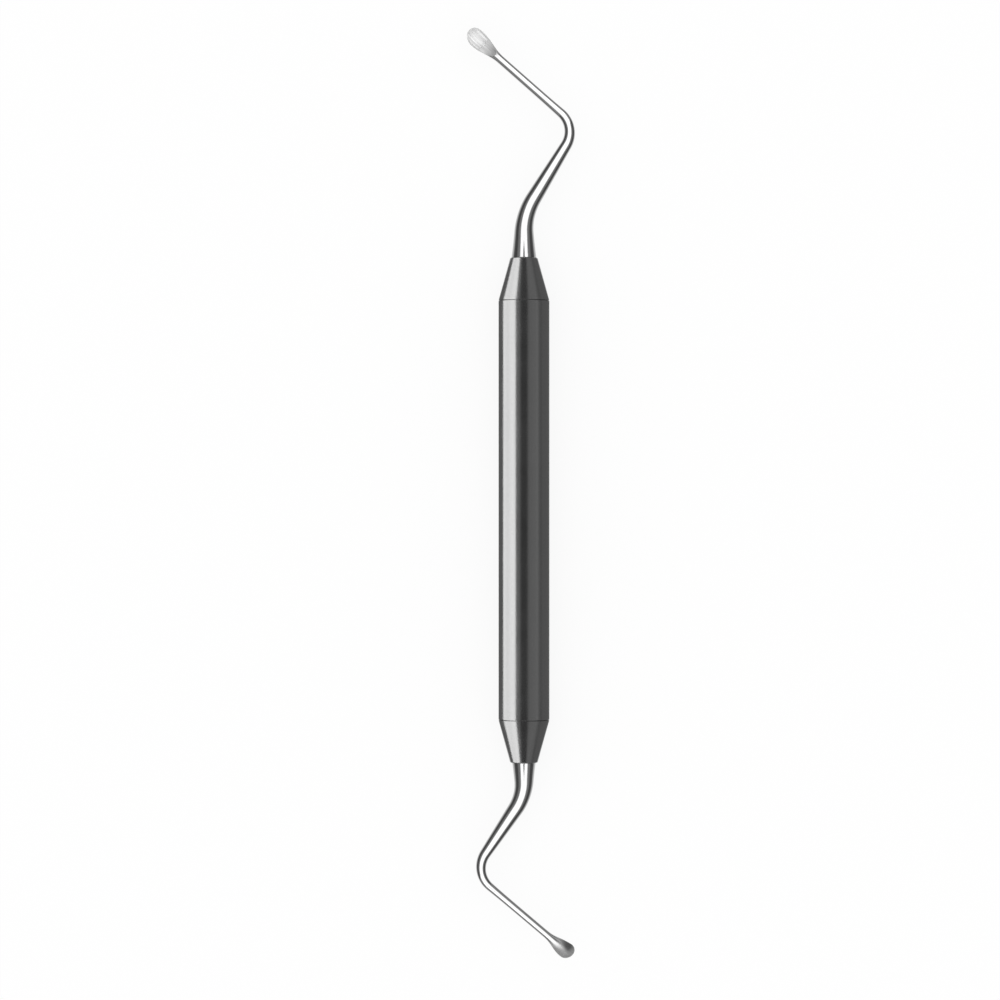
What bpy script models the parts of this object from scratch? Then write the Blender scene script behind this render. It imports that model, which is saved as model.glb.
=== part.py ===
"""Double-ended bone curette with a hollow turned handle.

Units are metres. The instrument lies along Y with the plane of its bends level: X is across,
Z is up, and the origin is under the middle of the handle, on the surface that it lies on.
Each working end is modelled in a frame of its own: the origin is in the middle of its cone's
nose, Y runs out along the handle's axis, and X is the side of the first bend. On the straight
leg that carries the bowl, a place is given by its distance back from the tip, its offset
across the leg and its height above the leg's axis.
"""
import math
from collections import namedtuple

import bmesh
import bpy
from mathutils import Vector

# Handle tube
HANDLE_DIAMETER = 0.0095
HANDLE_WALL = 0.0008
TUBE_LENGTH = 0.078
TUBE_EDGE_CHAMFER = 0.0001
HANDLE_SIDES = 40

# End cones, each a turned plug with a spigot in the tube and a bore for the tang
NOSE_DIAMETER = 0.00508
CONE_HALF_ANGLE = math.radians(15.5)
NOSE_ROUND = 0.00032
SPIGOT_FLOOR = 0.0026
SPIGOT_CHAMFER = 0.0005
TANG_DIAMETER = 0.0032
TANG_REACH_IN_SPIGOT = 0.0056
TANG_CHAMFER = 0.0003
BORE_END_ROOM = 0.0008
FIT_GAP = 0.00005

# Upper working end: legs between the points where their axes would cross
UPPER_ROOT_LENGTH = 0.00808
UPPER_ROOT_BEND = math.radians(31.4)
UPPER_ROOT_BEND_RADIUS = 0.0124
UPPER_LEG_LENGTH = 0.0190
UPPER_ELBOW_BEND = math.radians(80.0)
UPPER_ELBOW_RADIUS = 0.00475
UPPER_REACH = 0.02705
UPPER_ROOT_DIAMETER = 0.00470
UPPER_FLARE_LENGTH = 0.0086
UPPER_TAPER_DIAMETER = 0.00380
UPPER_TAPER_LENGTH = 0.0315
UPPER_SHANK_DIAMETER = 0.00153
UPPER_NECK_LENGTH = 0.0060
UPPER_BOWL_WIDTH = 0.00340
UPPER_BOWL_FRONT = 0.00205
UPPER_CUP_HEEL = 0.00195
UPPER_TIP_SWEEP = -0.00026

# Lower working end
LOWER_ROOT_LENGTH = 0.00623
LOWER_ROOT_BEND = math.radians(33.9)
LOWER_ROOT_BEND_RADIUS = 0.0095
LOWER_LEG_LENGTH = 0.01707
LOWER_ELBOW_BEND = math.radians(83.7)
LOWER_ELBOW_RADIUS = 0.00465
LOWER_REACH = 0.02414
LOWER_ROOT_DIAMETER = 0.00440
LOWER_FLARE_LENGTH = 0.0073
LOWER_TAPER_DIAMETER = 0.00374
LOWER_TAPER_LENGTH = 0.0271
LOWER_SHANK_DIAMETER = 0.00136
LOWER_NECK_LENGTH = 0.0049
LOWER_BOWL_WIDTH = 0.00306
LOWER_BOWL_FRONT = 0.00140
LOWER_CUP_HEEL = 0.00190
LOWER_TIP_SWEEP = 0.00028

# Sizes that both bowls share
BOWL_DEPTH = 0.00135
FACE_HEIGHT = 0.00022
FACE_STOCK = 0.00005
CUP_LIFT = 0.00003
CUP_WALL = 0.00032
RIM_WIDTH = 0.00016
FACE_LAND = 0.0005
GRIND_RADIUS = 0.0050
CUTTER_CLEARANCE = 0.0003
WELD_DISTANCE = 0.0000001
CUP_HEEL_SQUARENESS = 3.0
TAPER_EASE = 0.0030

# Fineness of the working ends
END_SIDES = 32
FLARE_STEPS = 6
LEG_STEPS = 3
ROOT_BEND_STEPS = 8
ELBOW_STEPS = 12
NECK_STEPS = 12
FRONT_STEPS = 10
CUP_SEGMENTS = 40
CUP_RINGS = 20
ARC_STEPS = 6

NOSE_RADIUS = NOSE_DIAMETER / 2
HANDLE_RADIUS = HANDLE_DIAMETER / 2
FACET_ANGLE = 2 * math.pi / HANDLE_SIDES
AXIS_HEIGHT = HANDLE_RADIUS * math.cos(FACET_ANGLE / 2)
CONE_LENGTH = (HANDLE_RADIUS - NOSE_RADIUS) / math.tan(CONE_HALF_ANGLE)
CONE_SEAT = TUBE_LENGTH / 2 + FIT_GAP
NOSE_PLACE = CONE_SEAT + CONE_LENGTH
FLAT_TURN = math.pi / 2 + FACET_ANGLE / 2
TANG_LENGTH = CONE_LENGTH + TANG_REACH_IN_SPIGOT
SPIGOT_LENGTH = TANG_REACH_IN_SPIGOT + BORE_END_ROOM + SPIGOT_FLOOR

EndSizes = namedtuple("EndSizes", [
    "root_length", "root_bend", "root_bend_radius", "leg_length", "elbow_bend", "elbow_radius",
    "reach", "root_diameter", "flare_length", "taper_diameter", "taper_length",
    "shank_diameter", "neck_length", "bowl_width", "bowl_front", "cup_heel", "tip_sweep",
    "cup_side"])

UPPER_END = EndSizes(
    UPPER_ROOT_LENGTH, UPPER_ROOT_BEND, UPPER_ROOT_BEND_RADIUS, UPPER_LEG_LENGTH,
    UPPER_ELBOW_BEND, UPPER_ELBOW_RADIUS, UPPER_REACH, UPPER_ROOT_DIAMETER,
    UPPER_FLARE_LENGTH, UPPER_TAPER_DIAMETER, UPPER_TAPER_LENGTH, UPPER_SHANK_DIAMETER,
    UPPER_NECK_LENGTH, UPPER_BOWL_WIDTH, UPPER_BOWL_FRONT, UPPER_CUP_HEEL, UPPER_TIP_SWEEP, 1)
LOWER_END = EndSizes(
    LOWER_ROOT_LENGTH, LOWER_ROOT_BEND, LOWER_ROOT_BEND_RADIUS, LOWER_LEG_LENGTH,
    LOWER_ELBOW_BEND, LOWER_ELBOW_RADIUS, LOWER_REACH, LOWER_ROOT_DIAMETER,
    LOWER_FLARE_LENGTH, LOWER_TAPER_DIAMETER, LOWER_TAPER_LENGTH, LOWER_SHANK_DIAMETER,
    LOWER_NECK_LENGTH, LOWER_BOWL_WIDTH, LOWER_BOWL_FRONT, LOWER_CUP_HEEL, LOWER_TIP_SWEEP, -1)


def clear_scene():
    """Remove every object of the open scene."""
    for item in list(bpy.data.objects):
        bpy.data.objects.remove(item, do_unlink=True)


def new_collection(name):
    """A collection linked to the scene."""
    collection = bpy.data.collections.new(name)
    bpy.context.scene.collection.children.link(collection)
    return collection


def steel(name, colour, roughness):
    """A bare metal material."""
    material = bpy.data.materials.new(name)
    material.use_nodes = True
    shader = material.node_tree.nodes["Principled BSDF"]
    shader.inputs["Base Color"].default_value = (*colour, 1.0)
    shader.inputs["Metallic"].default_value = 1.0
    shader.inputs["Roughness"].default_value = roughness
    material.diffuse_color = (*colour, 1.0)
    return material


def add_piece(name, mesh, material, collection, parent):
    """A named object in its collection, with its material, carried by its parent."""
    piece = bpy.data.objects.new(name, mesh)
    mesh.materials.append(material)
    collection.objects.link(piece)
    piece.parent = parent
    return piece


def arc(centre, radius, start, end, steps):
    """Points along an arc in a plane, with both ends."""
    points = []
    for index in range(steps + 1):
        angle = start + (end - start) * index / steps
        points.append((centre[0] + radius * math.cos(angle), centre[1] + radius * math.sin(angle)))
    return points


def profile_mesh(name, points, closed):
    """Edges through points given as radius and height."""
    bm = bmesh.new()
    corners = [bm.verts.new((radius, 0.0, height)) for radius, height in points]
    for first, second in zip(corners, corners[1:]):
        bm.edges.new((first, second))
    if closed:
        bm.edges.new((corners[-1], corners[0]))
    mesh = bpy.data.meshes.new(name)
    bm.to_mesh(mesh)
    bm.free()
    return mesh


def turn(piece):
    """Turn the piece's profile round its own Z axis."""
    screw = piece.modifiers.new("turned", "SCREW")
    screw.axis = "Z"
    screw.angle = 2 * math.pi
    screw.steps = HANDLE_SIDES
    screw.render_steps = HANDLE_SIDES
    screw.use_merge_vertices = True
    screw.merge_threshold = 0.000001
    screw.use_smooth_shade = True
    screw.use_normal_calculate = False


def lay_along_handle(piece, place, outward):
    """Lay a turned piece along Y, outward being 1 or -1, with a flat facet underneath."""
    piece.location = (0.0, place, 0.0)
    piece.rotation_euler = (-outward * math.pi / 2, FLAT_TURN, 0.0)


def handle_tube(material, collection, parent):
    """The hollow handle: down its smooth outer wall, then back up the bore."""
    top = TUBE_LENGTH / 2
    bore = HANDLE_RADIUS - HANDLE_WALL
    edge = TUBE_EDGE_CHAMFER
    points = [(HANDLE_RADIUS - edge, top), (HANDLE_RADIUS, top - edge)]
    points += [(HANDLE_RADIUS, edge - top), (HANDLE_RADIUS - edge, -top)]
    points += [(bore, -top), (bore, top)]
    piece = add_piece("handle_tube", profile_mesh("handle_tube", points, True),
                      material, collection, parent)
    turn(piece)
    lay_along_handle(piece, 0.0, 1)
    return piece


def cone_points():
    """A plug's profile: its blind bore, the nose, the cone, the shoulder and the spigot."""
    bore = TANG_DIAMETER / 2 + FIT_GAP
    bore_end = -TANG_REACH_IN_SPIGOT - BORE_END_ROOM
    spigot = HANDLE_RADIUS - HANDLE_WALL - FIT_GAP
    edge = TUBE_EDGE_CHAMFER
    slope = math.tan(CONE_HALF_ANGLE)
    points = [(0.0, bore_end), (bore, bore_end), (bore, CONE_LENGTH)]
    round_middle = (NOSE_RADIUS - NOSE_ROUND * (1 / math.cos(CONE_HALF_ANGLE) - slope),
                    CONE_LENGTH - NOSE_ROUND)
    points += arc(round_middle, NOSE_ROUND, math.pi / 2, CONE_HALF_ANGLE, ARC_STEPS // 2)
    points += [(HANDLE_RADIUS - edge * slope, edge), (HANDLE_RADIUS - edge, 0.0)]
    points += [(spigot, 0.0), (spigot, SPIGOT_CHAMFER - SPIGOT_LENGTH)]
    points += [(spigot - SPIGOT_CHAMFER, -SPIGOT_LENGTH), (0.0, -SPIGOT_LENGTH)]
    return points


def end_cone(name, outward, material, collection, parent):
    """One turned plug, seated on the tube's end."""
    piece = add_piece(name, profile_mesh(name, cone_points(), False), material, collection, parent)
    turn(piece)
    lay_along_handle(piece, outward * CONE_SEAT, outward)
    return piece


def centreline(end):
    """Straight and curved stretches of the bent shank, each a length and the angle it turns."""
    root_tangent = end.root_bend_radius * math.tan(end.root_bend / 2)
    elbow_tangent = end.elbow_radius * math.tan(end.elbow_bend / 2)
    return [(end.root_length - root_tangent, 0.0),
            (end.root_bend_radius * end.root_bend, -end.root_bend),
            (end.leg_length - root_tangent - elbow_tangent, 0.0),
            (end.elbow_radius * end.elbow_bend, end.elbow_bend),
            (end.reach - elbow_tangent, 0.0)]


def walk(stretches, distance):
    """Point and direction at a distance along the centreline.

    A negative distance is inside the cone, and the last leg runs straight on past the tip.
    """
    point = Vector((0.0, 0.0))
    heading = math.pi / 2
    last = len(stretches) - 1
    for index, (length, bend) in enumerate(stretches):
        step = distance if index == last else min(distance, length)
        if bend:
            turned = bend * step / length
            radius = length / bend
            point += radius * Vector((math.sin(heading + turned) - math.sin(heading),
                                      math.cos(heading) - math.cos(heading + turned)))
            heading += turned
        else:
            point += step * Vector((math.cos(heading), math.sin(heading)))
        distance -= step
        if distance <= 0.0:
            break
    return point, heading


def shank_radius(end, distance):
    """An even taper that eases into the slim shank, with a flare that runs out from the root."""
    left = end.taper_length - distance
    eased = (left + math.hypot(left, TAPER_EASE)) / 2
    slope = (end.taper_diameter - end.shank_diameter) / end.taper_length
    flare = max(0.0, 1.0 - distance / end.flare_length) ** 2
    diameter = end.shank_diameter + slope * eased
    diameter += (end.root_diameter - end.taper_diameter) * flare
    return diameter / 2


def ease(fraction):
    """A smooth step from 0 to 1."""
    fraction = min(1.0, max(0.0, fraction))
    return (1 - math.cos(math.pi * fraction)) / 2


def blank_section(end, distance, total):
    """Half width, half heights above and below, and middle height of the blank's oval section.

    The round shank swells into a spoon whose widest line lies just above the ground face, and
    the spoon's front closes as a quarter of an ellipsoid.
    """
    radius = shank_radius(end, distance)
    back = total - distance
    swell = ease(1.0 - (back - end.bowl_front) / end.neck_length)
    close = 1.0
    if back < end.bowl_front:
        close = math.sqrt(max(0.0, 1.0 - (1.0 - back / end.bowl_front) ** 2))
    half_width = (radius + (end.bowl_width / 2 - radius) * swell) * close
    above = radius * close
    below = (radius + (BOWL_DEPTH + FACE_STOCK - radius) * swell) * close
    middle = (FACE_HEIGHT + FACE_STOCK) * swell
    return half_width, above, below, middle


def sweep(end, back):
    """How far the bowl's middle line leans to one side, a distance back from the tip."""
    return end.tip_sweep * max(0.0, 1.0 - back / (end.bowl_front + end.cup_heel)) ** 2


def even(start, stop, steps):
    """Evenly spaced values from start up to stop, without stop."""
    return [start + (stop - start) * index / steps for index in range(steps)]


def station_distances(end, stretches):
    """Distances along the centreline where the blank has a section."""
    ends = []
    reached = 0.0
    for length, _ in stretches:
        reached += length
        ends.append(reached)
    root, bend, leg, elbow, total = ends
    front = total - end.bowl_front
    neck = front - end.neck_length
    distances = even(0.0, root, FLARE_STEPS)
    distances += even(root, bend, ROOT_BEND_STEPS)
    distances += even(bend, leg, LEG_STEPS)
    distances += even(leg, elbow, ELBOW_STEPS)
    distances += even(elbow, neck, LEG_STEPS)
    distances += even(neck, front, NECK_STEPS)
    for index in range(FRONT_STEPS):
        angle = math.pi / 2 * index / FRONT_STEPS
        distances.append(front + end.bowl_front * math.sin(angle))
    return distances, total


def place_on_leg(end, stretches, total, back, across, height):
    """A place on the bowl's leg as a point of the working end's own frame."""
    point, heading = walk(stretches, total - back)
    side = Vector((-math.sin(heading), math.cos(heading)))
    point += side * (across + sweep(end, back))
    return Vector((point.x, point.y, height * end.cup_side))


def ring(bm, centre, side, half_width, above, below, lift, cup_side):
    """One oval section: an upper and a lower half ellipse on a shared width."""
    corners = []
    for index in range(END_SIDES):
        angle = 2 * math.pi * (index + 0.5) / END_SIDES
        across = half_width * math.cos(angle)
        rise = math.sin(angle) * (above if math.sin(angle) > 0.0 else below)
        point = centre + side * across
        corners.append(bm.verts.new((point.x, point.y, (lift + rise) * cup_side)))
    return corners


def bridge(bm, first, second):
    """Join two sections with a band of four-sided faces."""
    for index in range(len(first)):
        after = (index + 1) % len(first)
        bm.faces.new((first[index], first[after], second[after], second[index]))


def blank_mesh(name, end, stretches):
    """Loft of the working end: tang, shoulder, tapered double-bent shank and spoon blank."""
    bm = bmesh.new()
    distances, total = station_distances(end, stretches)
    tang = TANG_DIAMETER / 2
    tang_foot = FIT_GAP - TANG_LENGTH
    rings = []
    for distance, radius in ((tang_foot, tang - TANG_CHAMFER), (tang_foot + TANG_CHAMFER, tang),
                             (FIT_GAP, tang)):
        point, heading = walk(stretches, distance)
        side = Vector((-math.sin(heading), math.cos(heading)))
        rings.append(ring(bm, point, side, radius, radius, radius, 0.0, end.cup_side))
    for distance in distances:
        distance = max(distance, FIT_GAP)
        point, heading = walk(stretches, distance)
        side = Vector((-math.sin(heading), math.cos(heading)))
        half_width, above, below, middle = blank_section(end, distance, total)
        point = point + side * sweep(end, total - distance)
        rings.append(ring(bm, point, side, half_width, above, below, middle, end.cup_side))
    for first, second in zip(rings, rings[1:]):
        bridge(bm, first, second)
    bm.faces.new(rings[0])
    tip = place_on_leg(end, stretches, total, 0.0, 0.0, FACE_HEIGHT + FACE_STOCK)
    tip_corner = bm.verts.new(tip)
    for index, corner in enumerate(rings[-1]):
        bm.faces.new((corner, rings[-1][(index + 1) % END_SIDES], tip_corner))
    bm.normal_update()
    bmesh.ops.recalc_face_normals(bm, faces=bm.faces)
    mesh = bpy.data.meshes.new(name)
    bm.to_mesh(mesh)
    bm.free()
    mesh.shade_smooth()
    mesh.set_sharp_from_angle(angle=math.radians(35))
    return mesh, total


def plate_mesh(name, outline, half_thickness):
    """A flat outline given a thickness, as a closed mesh."""
    curve = bpy.data.curves.new(name, "CURVE")
    curve.dimensions = "2D"
    curve.fill_mode = "BOTH"
    curve.extrude = half_thickness
    spline = curve.splines.new("POLY")
    spline.points.add(len(outline) - 1)
    for point, (along, height) in zip(spline.points, outline):
        point.co = (along, height, 0.0, 1.0)
    spline.use_cyclic_u = True
    holder = bpy.data.objects.new(name, curve)
    bpy.context.scene.collection.objects.link(holder)
    bpy.context.view_layer.update()
    graph = bpy.context.evaluated_depsgraph_get()
    mesh = bpy.data.meshes.new_from_object(holder.evaluated_get(graph))
    bpy.data.objects.remove(holder, do_unlink=True)
    bpy.data.curves.remove(curve)
    return mesh


def settle_cutter(mesh, end, stretches, total):
    """Carry a cutter's mesh from distances back, across and up the leg into the end's frame."""
    bm = bmesh.new()
    bm.from_mesh(mesh)
    bmesh.ops.remove_doubles(bm, verts=bm.verts, dist=WELD_DISTANCE)
    for corner in bm.verts:
        corner.co = place_on_leg(end, stretches, total, *corner.co)
    bm.normal_update()
    bmesh.ops.recalc_face_normals(bm, faces=bm.faces)
    bm.to_mesh(mesh)
    bm.free()
    mesh.shade_smooth()


def face_outline(end):
    """Side view of what the grinding takes off: back from the tip against height."""
    clear = end.bowl_width
    start = end.bowl_front + end.cup_heel + FACE_LAND
    climb = end.shank_diameter / 2 - FACE_HEIGHT + CUTTER_CLEARANCE
    turned = math.acos(1.0 - climb / GRIND_RADIUS)
    wheel = arc((start, FACE_HEIGHT + GRIND_RADIUS), GRIND_RADIUS,
                -math.pi / 2, turned - math.pi / 2, ARC_STEPS)
    return [(-clear, FACE_HEIGHT)] + wheel + [(wheel[-1][0], clear), (-clear, clear)]


def face_cutter(end, stretches, total):
    """The stock above the flat face, which a wheel leaves in a hollow run-out on the shank."""
    mesh = plate_mesh("ground_face_cutter", face_outline(end), end.bowl_width)
    for corner in mesh.vertices:
        corner.co = (corner.co.x, corner.co.z, corner.co.y)
    settle_cutter(mesh, end, stretches, total)
    return mesh


def cup_cutter(end, stretches, total):
    """The hollow of the cup: a spheroid, longer and squarer towards its heel."""
    half_width = end.bowl_width / 2 - RIM_WIDTH
    front = end.bowl_front - RIM_WIDTH
    depth = BOWL_DEPTH - CUP_WALL + CUP_LIFT
    bm = bmesh.new()
    bmesh.ops.create_uvsphere(bm, u_segments=CUP_SEGMENTS, v_segments=CUP_RINGS, radius=1.0)
    for corner in bm.verts:
        along, across, up = corner.co
        level = math.hypot(along, across)
        squareness = CUP_HEEL_SQUARENESS if along > 0.0 else 2.0
        spread = 1.0
        if level > 0.0:
            powers = abs(along / level) ** squareness + abs(across / level) ** squareness
            spread = powers ** (-1.0 / squareness)
        reach = end.cup_heel if along > 0.0 else front
        corner.co = (end.bowl_front + along * spread * reach, across * spread * half_width,
                     FACE_HEIGHT + CUP_LIFT + up * depth)
    mesh = bpy.data.meshes.new("cup_cutter")
    bm.to_mesh(mesh)
    bm.free()
    settle_cutter(mesh, end, stretches, total)
    return mesh


def cut(piece, mesh, name, cutters):
    """Take a cutter's shape away from a piece, as the cutter stands in the piece's frame."""
    cutter = bpy.data.objects.new(name, mesh)
    cutters.objects.link(cutter)
    cutter.parent = piece
    cutter.hide_render = True
    cutter.display_type = "WIRE"
    boolean = piece.modifiers.new(name, "BOOLEAN")
    boolean.operation = "DIFFERENCE"
    boolean.solver = "EXACT"
    boolean.object = cutter


def working_end(name, end, outward, material, collection, cutters, parent):
    """Tang, bent shank and cupped bowl in one piece, set into its cone."""
    stretches = centreline(end)
    mesh, total = blank_mesh(name, end, stretches)
    piece = add_piece(name, mesh, material, collection, parent)
    piece.location = (0.0, outward * NOSE_PLACE, 0.0)
    piece.rotation_euler = (0.0, 0.0, 0.0 if outward > 0 else math.pi)
    cut(piece, face_cutter(end, stretches, total), name + "_face_cutter", cutters)
    cut(piece, cup_cutter(end, stretches, total), name + "_cup_cutter", cutters)
    return piece


def main():
    """Build the whole instrument."""
    clear_scene()
    parts = new_collection("bone_curette")
    cutters = new_collection("cutters")
    axis = bpy.data.objects.new("handle_axis", None)
    axis.location = (0.0, 0.0, AXIS_HEIGHT)
    parts.objects.link(axis)
    satin = steel("satin_steel", (0.40, 0.40, 0.41), 0.38)
    polished = steel("polished_steel", (0.66, 0.66, 0.67), 0.12)
    handle_tube(satin, parts, axis)
    end_cone("upper_end_cone", 1, satin, parts, axis)
    end_cone("lower_end_cone", -1, satin, parts, axis)
    working_end("upper_working_end", UPPER_END, 1, polished, parts, cutters, axis)
    working_end("lower_working_end", LOWER_END, -1, polished, parts, cutters, axis)
    bpy.context.view_layer.update()


main()
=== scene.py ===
"""A double-ended bone curette lying on a pale table under soft studio light.

Units are metres. Y runs along the handle, Z is up and X is the side of the upper end's first
bend. The tube and the cones are profiles turned round the handle's axis. Each working end is a
surface whose cross-sections follow a bent centreline; on it a place is given by its distance
back from the tip, its offset across the leg and its height above the leg's axis.
"""
import math

import bmesh
import bpy
import numpy as np
from bpy.props import FloatProperty, FloatVectorProperty, PointerProperty
from bpy.types import Operator, Panel, PropertyGroup
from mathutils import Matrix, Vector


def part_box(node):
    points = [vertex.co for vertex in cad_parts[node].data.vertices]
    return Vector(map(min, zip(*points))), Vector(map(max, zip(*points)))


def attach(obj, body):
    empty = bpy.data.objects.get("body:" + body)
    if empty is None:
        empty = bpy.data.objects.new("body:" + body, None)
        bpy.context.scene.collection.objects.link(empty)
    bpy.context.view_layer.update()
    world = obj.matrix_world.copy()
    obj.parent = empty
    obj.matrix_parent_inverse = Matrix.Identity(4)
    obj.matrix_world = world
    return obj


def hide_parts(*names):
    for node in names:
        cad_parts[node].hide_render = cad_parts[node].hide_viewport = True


bl_info = {
    "name": "Bone curette",
    "version": (1, 0, 0),
    "blender": (4, 5, 0),
    "location": "View3D > Sidebar > Curette",
    "description": "A double-ended bone curette with polished shanks on a satin handle",
    "category": "Object",
}

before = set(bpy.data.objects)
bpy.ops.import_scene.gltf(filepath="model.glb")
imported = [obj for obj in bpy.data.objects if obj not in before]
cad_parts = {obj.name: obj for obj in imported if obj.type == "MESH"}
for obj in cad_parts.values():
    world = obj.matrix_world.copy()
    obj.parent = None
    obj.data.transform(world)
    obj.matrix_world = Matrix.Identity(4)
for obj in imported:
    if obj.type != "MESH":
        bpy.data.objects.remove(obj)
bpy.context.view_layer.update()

TUBE_LOW, TUBE_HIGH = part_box("handle_tube")
CONE_LOW, CONE_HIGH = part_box("upper_end_cone")
HANDLE_RADIUS = (TUBE_HIGH.z - TUBE_LOW.z) / 2
AXIS_HEIGHT = (TUBE_HIGH.z + TUBE_LOW.z) / 2
TUBE_END = TUBE_HIGH.y
NOSE_PLACE = CONE_HIGH.y
SPIGOT_END = CONE_LOW.y

# Fineness of the surfaces
TURNED_SIDES = 192
ARC_STEPS = 8
SIDE_COLUMNS = 36
FACE_CELLS = 28
CUP_CELLS = 22
NECK_ROWS = 40
SHANK_STEP = 0.0002
RUN_OUT_SAMPLES = 20001
WELD_DISTANCE = 0.0000001

# How far behind a ground face the strips of a shank's mesh take to become even
OPENING_LENGTH = 0.0015

# The least height of a section, so that nothing is divided by zero
SMALLEST_REACH = 1e-12

# Angles in degrees past which an edge is sharp
TURNED_SHARP = 30
BENT_SHARP = 22

# Centimetres in a metre, for UV maps
CENTIMETRES = 100

# Places in a working end's list of finishes
SHANK_FINISH, FACE_FINISH, CUP_FINISH = 0, 1, 2

# How nodes are spaced in the editor, and the colour sockets of a Mix node
COLUMN_WIDTH = 220
ROW_HEIGHT = 260
MIX_FACTOR, MIX_FIRST, MIX_SECOND, MIX_RESULT = 0, 6, 7, 2

# How much rougher the haze makes the satin steel at most
HAZE_ROUGHENING = 0.06

# The tent that reflections show, by parts of a direction: brightness by the upward part, a dark
# seam by the part across the handle, and light ends by the part along it
TENT_STOPS = ((0.0, 0.07), (0.12, 0.055), (0.28, 0.08), (0.40, 0.15), (0.52, 0.22), (0.95, 0.19))
SEAM_REACH, SEAM_LEVELS = (0.20, 0.38), (0.25, 1.0)
ENDS_REACH, ENDS_GLOW = (0.68, 0.86), 0.14

# Overhead lamps of a working end: name, width, share of the brightness and height
OVERHEAD_LAMPS = (("inner", 2.2, 0.25, 2.00), ("middle", 2.8, 0.35, 2.05),
                  ("outer", 3.5, 0.40, 2.10))
OVERHEAD_PLACE = 0.55

# How a lamp is turned about the Y axis and then about the Z axis, in degrees
FACE_DOWN, FACE_UP = (0.0, 0.0), (180.0, 0.0)
FACE_RIGHT, FACE_LEFT = (-90.0, 0.0), (90.0, 0.0)

# The rest of the stage
TABLE_HALF = 3.0
MIRRORED_TABLE = 0.09
CARD_HEIGHT = 1.0
CARD_SHADE = 0.06
VIEW_CENTRE = (-0.00446, 0.0019)


def length(name, value, description):
    """A length that shows in the scene's own units."""
    return FloatProperty(name=name, description=description, default=value, min=0.0,
                         precision=5, subtype="DISTANCE", unit="LENGTH")


def lean(name, value, description):
    """A sideways shift, to one side or the other."""
    return FloatProperty(name=name, description=description, default=value,
                         precision=5, subtype="DISTANCE", unit="LENGTH")


def turn_angle(name, degrees, description):
    """An angle."""
    return FloatProperty(name=name, description=description, default=math.radians(degrees),
                         min=0.0, subtype="ANGLE", unit="ROTATION")


def share(name, value, description):
    """A number from 0 to 1."""
    return FloatProperty(name=name, description=description, default=value,
                         min=0.0, max=1.0, subtype="FACTOR")


def level(name, value, description):
    """A strength without a unit."""
    return FloatProperty(name=name, description=description, default=value, min=0.0)


def colour(name, value, description):
    """A colour that can be set."""
    return FloatVectorProperty(name=name, description=description, default=value,
                               size=3, min=0.0, max=1.0, subtype="COLOR")


class CuretteHandleSizes(PropertyGroup):
    """Sizes of the handle's tube and its two end cones."""

    wall: length("Tube wall", 0.0008, "Thickness of the tube's wall")
    nose_diameter: length("Nose diameter", 0.00506, "Diameter of a cone at its nose")
    nose_round: length("Nose round", 0.00032, "Radius of the rounded edge at a cone's nose")
    edge_round: length("Edge round", 0.00012, "Radius of the edges where tube and cone meet")
    bore: length("Tang bore", 0.0033, "Diameter of the hole for the tang")
    bore_depth: length("Bore depth", 0.0064, "Depth of that hole past the cone's shoulder")
    fit: length("Fit", 0.00005, "Gap between pieces that are pressed together")


# Sizes of a working end: name, kind, label, values of the upper and lower end, description
END_SIZES = (
    ("root_length", length, "Root length", (0.00808, 0.00623),
     "From the nose to the first bend's corner"),
    ("root_bend", turn_angle, "Root bend", (31.4, 33.9), "How far the first bend turns"),
    ("root_bend_radius", length, "Root bend radius", (0.0124, 0.0095), "Radius of the first bend"),
    ("leg_length", length, "Leg length", (0.0190, 0.01707),
     "From the first bend's corner to the elbow's"),
    ("elbow_bend", turn_angle, "Elbow bend", (80.0, 83.7), "How far the elbow turns"),
    ("elbow_radius", length, "Elbow radius", (0.00475, 0.00465), "Radius of the elbow"),
    ("reach", length, "Reach", (0.02705, 0.02414), "From the elbow's corner to the tip"),
    ("root_diameter", length, "Root diameter", (0.00470, 0.00440), "Diameter at the nose"),
    ("flare_length", length, "Flare length", (0.0086, 0.0073), "How far the root's flare runs out"),
    ("taper_diameter", length, "Taper diameter", (0.00380, 0.00374),
     "Diameter that the even taper starts from"),
    ("taper_length", length, "Taper length", (0.0315, 0.0271), "How far the even taper runs"),
    ("shank_diameter", length, "Shank diameter", (0.00153, 0.00136), "Diameter of the slim shank"),
    ("neck_length", length, "Neck length", (0.0060, 0.0049),
     "How far the shank takes to swell into the bowl"),
    ("bowl_width", length, "Bowl width", (0.00340, 0.00306), "Width of the bowl"),
    ("bowl_front", length, "Bowl front", (0.00205, 0.00140),
     "From the tip back to the bowl's widest place"),
    ("cup_heel", length, "Cup heel", (0.00195, 0.00190),
     "From the widest place back to the cup's end"),
    ("tip_sweep", lean, "Tip sweep", (-0.00026, 0.00028), "How far the tip leans to one side"),
)


def end_sizes(end):
    """The settings of one working end, with its own values from the table as defaults."""
    return {name: kind(label, values[end], description)
            for name, kind, label, values, description in END_SIZES}


class CuretteUpperEndSizes(PropertyGroup):
    """Sizes of the larger working end."""

    __annotations__ = end_sizes(0)


class CuretteLowerEndSizes(PropertyGroup):
    """Sizes of the smaller working end."""

    __annotations__ = end_sizes(1)


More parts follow.
